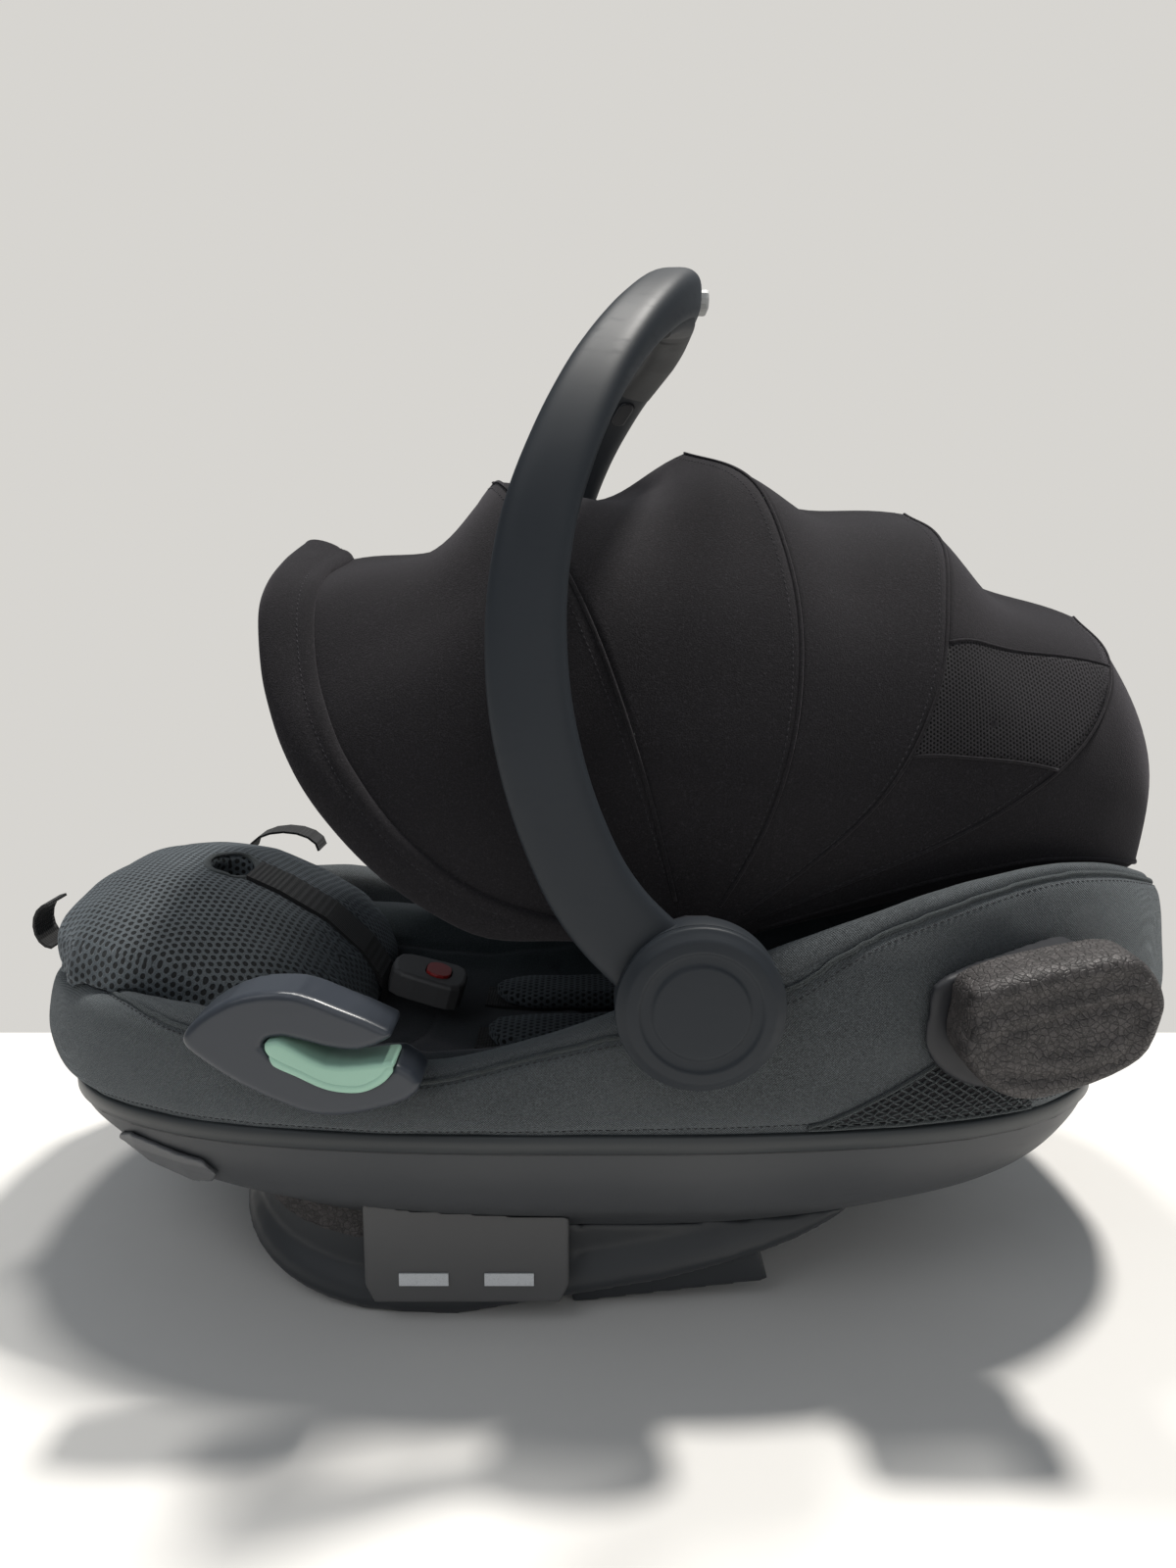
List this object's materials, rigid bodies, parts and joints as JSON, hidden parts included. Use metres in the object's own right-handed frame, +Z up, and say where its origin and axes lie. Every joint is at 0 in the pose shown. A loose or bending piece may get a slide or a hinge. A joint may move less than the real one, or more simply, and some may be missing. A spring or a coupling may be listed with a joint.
{
  "type": "child car seat",
  "caption": "Infant carrier car seat: padded shell with folding canopy, swinging carry handle, harness, headrest, belt guides and a side block on a rocker base.",
  "frame": {"origin": "centre of the bounding box at floor level", "axes": "+X from the foot end to the head end, +Z up, +Y to the right side of the child who sits in it"},
  "size_m": [0.6706, 0.444, 0.567],
  "materials": {
    "cover_fabric": "matte woven, teal grey",
    "lining_fabric": "matte knitted",
    "mesh_fabric": "open spacer mesh",
    "canopy_fabric": "matte stretch knit",
    "handle_plastic": "fine satin grain",
    "shell_plastic": "fine satin grain",
    "dark_plastic": "satin black",
    "guide_plastic": "smooth satin",
    "mint_plastic": "smooth satin, mint",
    "grey_plastic": "satin, warm grey",
    "pale_plastic": "satin, pale grey",
    "foam": "speckled moulded bead foam",
    "webbing": "ribbed woven webbing",
    "red_plastic": "satin red",
    "reflector": "pale reflective film",
    "steel": "brushed"
  },
  "bodies": {
    "seat": {"seat_cover": "cover_fabric", "side_net_left": "cover_fabric", "side_net_right": "cover_fabric", "seat_pad": "lining_fabric", "insert_pad": "mesh_fabric", "shoulder_pad_left": "mesh_fabric", "shoulder_pad_right": "mesh_fabric", "canopy_panel_5": "canopy_fabric", "lower_shell": "shell_plastic", "seat_tub": "dark_plastic", "hub_socket_left": "dark_plastic", "hub_socket_right": "dark_plastic", "block_mount_left": "dark_plastic", "block_mount_right": "dark_plastic", "rocker_base": "dark_plastic", "adjuster_housing": "dark_plastic", "headrest_rail": "dark_plastic", "belt_guide_left": "guide_plastic", "belt_guide_right": "guide_plastic", "guide_insert_left": "mint_plastic", "guide_insert_right": "mint_plastic", "base_block_left": "grey_plastic", "base_block_right": "grey_plastic", "buckle": "grey_plastic", "foam_panel_left": "foam", "foam_panel_right": "foam", "shoulder_strap_left": "webbing", "shoulder_strap_right": "webbing", "crotch_strap": "webbing", "belt_loop_front": "webbing", "belt_loop_side": "webbing", "reflector_front_left": "reflector", "reflector_front_right": "reflector", "reflector_rear_left": "reflector", "reflector_rear_right": "reflector", "pivot_bolt_left": "steel", "pivot_bolt_right": "steel"},
    "handle": {"carry_handle": "handle_plastic", "grip_cover": "dark_plastic", "hub_cap_left": "handle_plastic", "hub_cap_right": "handle_plastic"},
    "handle_button_left": {"handle_button_left": "dark_plastic"},
    "handle_button_right": {"handle_button_right": "dark_plastic"},
    "release_button": {"release_button": "pale_plastic"},
    "lock_disc_left": {"lock_disc_left": "pale_plastic"},
    "lock_disc_right": {"lock_disc_right": "pale_plastic"},
    "canopy_bow_5": {"canopy_bow_5": "dark_plastic", "canopy_panel_4": "canopy_fabric"},
    "canopy_bow_4": {"canopy_bow_4": "dark_plastic", "canopy_panel_3": "canopy_fabric"},
    "canopy_bow_3": {"canopy_bow_3": "dark_plastic", "canopy_panel_2": "canopy_fabric"},
    "canopy_bow_2": {"canopy_bow_2": "dark_plastic", "canopy_panel_1": "canopy_fabric"},
    "canopy_rim": {"canopy_rim": "canopy_fabric"},
    "headrest": {"headrest": "lining_fabric"},
    "buckle_button": {"buckle_button": "red_plastic"},
    "adjuster_button": {"adjuster_button": "grey_plastic"},
    "side_block": {"side_block": "foam"},
    "foot_lever": {"foot_lever": "grey_plastic"}
  },
  "joints": [
    {"name": "handle_swing", "type": "hinge", "parent": "seat", "child": "handle", "pos_m": [0.042, 0, 0.201], "axis": [0, 1, 0], "range_deg": [0, 90]},
    {"name": "handle_button_left_press", "type": "slide", "parent": "handle", "child": "handle_button_left", "axis": [0.0173, -0.5391, 0.8421], "range_m": [0, 0.003], "stiffness_N_per_m": 400, "springref_m": -0.001},
    {"name": "handle_button_right_press", "type": "slide", "parent": "handle", "child": "handle_button_right", "axis": [0.0173, 0.5391, 0.8421], "range_m": [0, 0.003], "stiffness_N_per_m": 400, "springref_m": -0.001},
    {"name": "release_press", "type": "slide", "parent": "handle", "child": "release_button", "axis": [-1, 0, 0], "range_m": [0, 0.003], "stiffness_N_per_m": 400, "springref_m": -0.001},
    {"name": "lock_left_slide", "type": "slide", "parent": "seat", "child": "lock_disc_left", "axis": [0, 1, 0], "range_m": [0, 0.005]},
    {"name": "lock_right_slide", "type": "slide", "parent": "seat", "child": "lock_disc_right", "axis": [0, -1, 0], "range_m": [0, 0.005]},
    {"name": "canopy_bow_5_fold", "type": "hinge", "parent": "seat", "child": "canopy_bow_5", "pos_m": [0.042, 0, 0.201], "axis": [0, 1, 0], "range_deg": [0, 5], "deforming": ["canopy_panel_5"]},
    {"name": "canopy_bow_4_fold", "type": "hinge", "parent": "canopy_bow_5", "child": "canopy_bow_4", "pos_m": [0.042, 0, 0.201], "axis": [0, 1, 0], "range_deg": [0, 12], "deforming": ["canopy_panel_4"]},
    {"name": "canopy_bow_3_fold", "type": "hinge", "parent": "canopy_bow_4", "child": "canopy_bow_3", "pos_m": [0.042, 0, 0.201], "axis": [0, 1, 0], "range_deg": [0, 19], "deforming": ["canopy_panel_3"]},
    {"name": "canopy_bow_2_fold", "type": "hinge", "parent": "canopy_bow_3", "child": "canopy_bow_2", "pos_m": [0.042, 0, 0.201], "axis": [0, 1, 0], "range_deg": [0, 16], "deforming": ["canopy_panel_2"]},
    {"name": "canopy_rim_fold", "type": "hinge", "parent": "canopy_bow_2", "child": "canopy_rim", "pos_m": [0.042, 0, 0.201], "axis": [0, 1, 0], "range_deg": [0, 14], "deforming": ["canopy_panel_1"]},
    {"name": "headrest_slide", "type": "slide", "parent": "seat", "child": "headrest", "axis": [0.9205, 0, 0.3907], "range_m": [-0.04, 0]},
    {"name": "buckle_press", "type": "slide", "parent": "seat", "child": "buckle_button", "axis": [-0.2756, 0, -0.9613], "range_m": [0, 0.003], "stiffness_N_per_m": 400, "springref_m": -0.001},
    {"name": "adjuster_press", "type": "slide", "parent": "seat", "child": "adjuster_button", "axis": [0, 0, -1], "range_m": [0, 0.004], "stiffness_N_per_m": 400, "springref_m": -0.001},
    {"name": "side_block_slide", "type": "slide", "parent": "seat", "child": "side_block", "axis": [0, -1, 0], "range_m": [0, 0.03]},
    {"name": "foot_lever_turn", "type": "hinge", "parent": "seat", "child": "foot_lever", "pos_m": [-0.203, -0.152, 0.084], "axis": [0, 0, 1], "range_deg": [0, 8]}
  ],
  "couplings": [
    {"joint": "lock_left_slide", "follows": "handle_button_left_press", "ratio": 1.6667},
    {"joint": "lock_right_slide", "follows": "handle_button_right_press", "ratio": 1.6667},
    {"joint": "canopy_bow_4_fold", "follows": "canopy_bow_5_fold", "ratio": 2.4},
    {"joint": "canopy_bow_3_fold", "follows": "canopy_bow_5_fold", "ratio": 3.8},
    {"joint": "canopy_bow_2_fold", "follows": "canopy_bow_5_fold", "ratio": 3.2},
    {"joint": "canopy_rim_fold", "follows": "canopy_bow_5_fold", "ratio": 2.8}
  ]
}
